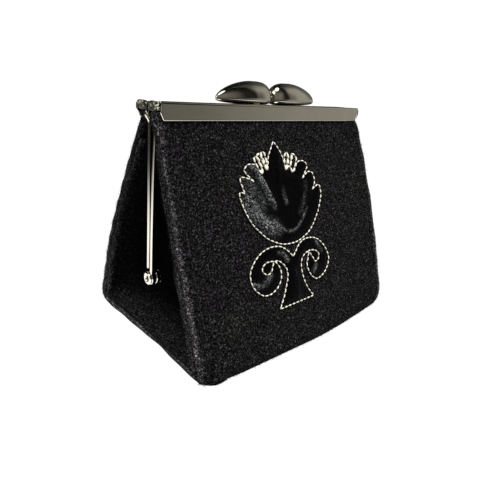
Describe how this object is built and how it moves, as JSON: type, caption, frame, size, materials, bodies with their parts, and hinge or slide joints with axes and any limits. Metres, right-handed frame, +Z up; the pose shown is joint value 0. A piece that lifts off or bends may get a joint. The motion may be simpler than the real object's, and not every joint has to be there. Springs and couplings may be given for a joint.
{
  "type": "clasp-frame wallet",
  "caption": "Small standing felt wallet on a polished clasp frame with half-egg beads, hinged arms, sides folded inwards and a satin flower with a scroll foot sewn to the front.",
  "frame": {"origin": "under the middle of the body, on the surface it stands on", "axes": "+X along the clasp frame, to the right as seen from the front, +Y to the back, +Z up"},
  "size_m": [0.1027, 0.0768, 0.0943],
  "materials": {
    "felt": "matt wool felt with grey fibres",
    "satin": "soft satin sheen",
    "nickel": "polished nickel plate",
    "filler": "rough twisted paper cord"
  },
  "bodies": {
    "root": {"body_wrap": "felt", "gusset_left": "felt", "gusset_right": "felt", "frame_front": "nickel", "frame_back": "nickel", "rivet_left": "nickel", "rivet_right": "nickel", "bead_front": "nickel", "bead_back": "nickel", "filler_front": "filler", "filler_back": "filler", "applique_flower": "satin", "applique_foot": "satin"}
  },
  "joints": []
}
